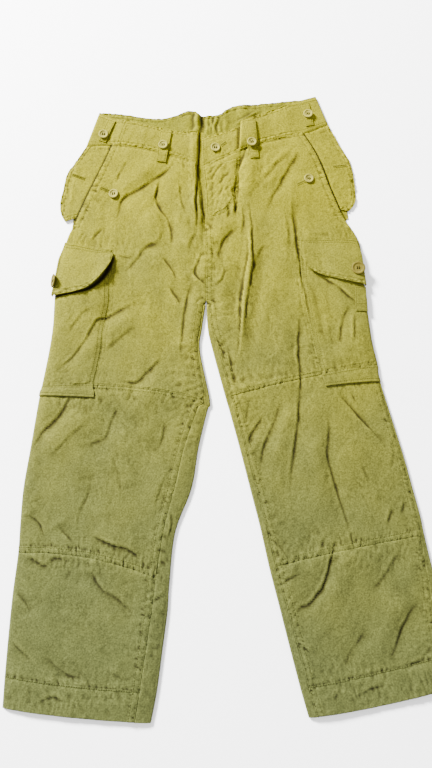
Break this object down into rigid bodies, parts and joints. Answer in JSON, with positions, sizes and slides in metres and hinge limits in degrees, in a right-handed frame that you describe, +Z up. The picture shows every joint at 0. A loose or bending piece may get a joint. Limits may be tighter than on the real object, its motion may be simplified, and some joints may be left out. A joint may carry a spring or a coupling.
{
  "type": "cargo pants",
  "caption": "Olive cotton cargo trousers laid flat on their back, with buttoned hip and cargo flaps, belt loops and a pleated waist.",
  "frame": {"origin": "middle of the garment's bounding box, on the floor that it lies on", "axes": "+Z up, out of the garment's front; +Y towards the waist; -X towards the wearer's right leg"},
  "size_m": [0.6832, 1.06, 0.0221],
  "materials": {
    "cloth": "washed olive cotton, matt",
    "horn_button": "cream horn-like resin, satin",
    "tan_button": "tan horn-like resin, satin"
  },
  "bodies": {
    "root": {"back_panel_left": "cloth", "back_panel_right": "cloth", "waistband_back": "cloth", "waistband_left": "cloth", "waistband_right": "cloth", "front_panel_left": "cloth", "front_panel_right": "cloth", "knee_panel_left": "cloth", "knee_panel_right": "cloth", "shin_panel_left": "cloth", "shin_panel_right": "cloth", "hem_band_left": "cloth", "hem_band_right": "cloth", "fly_facing": "cloth", "hip_flap_left": "cloth", "hip_flap_right": "cloth", "cargo_pocket_left": "cloth", "cargo_pocket_right": "cloth", "pocket_hem_left": "cloth", "pocket_hem_right": "cloth", "pocket_pleat_left": "cloth", "cargo_flap_left": "cloth", "cargo_flap_right": "cloth", "belt_loop_side_right": "cloth", "belt_loop_front_right": "cloth", "belt_loop_front_left": "cloth", "belt_loop_side_left": "cloth", "button_loop_side_right": "horn_button", "button_loop_front_right": "horn_button", "button_loop_front_left": "horn_button", "button_loop_side_left": "horn_button", "button_fly": "horn_button", "button_hip_right": "horn_button", "button_hip_left": "horn_button", "button_cargo_left": "tan_button", "button_cargo_right": "tan_button"}
  },
  "joints": []
}
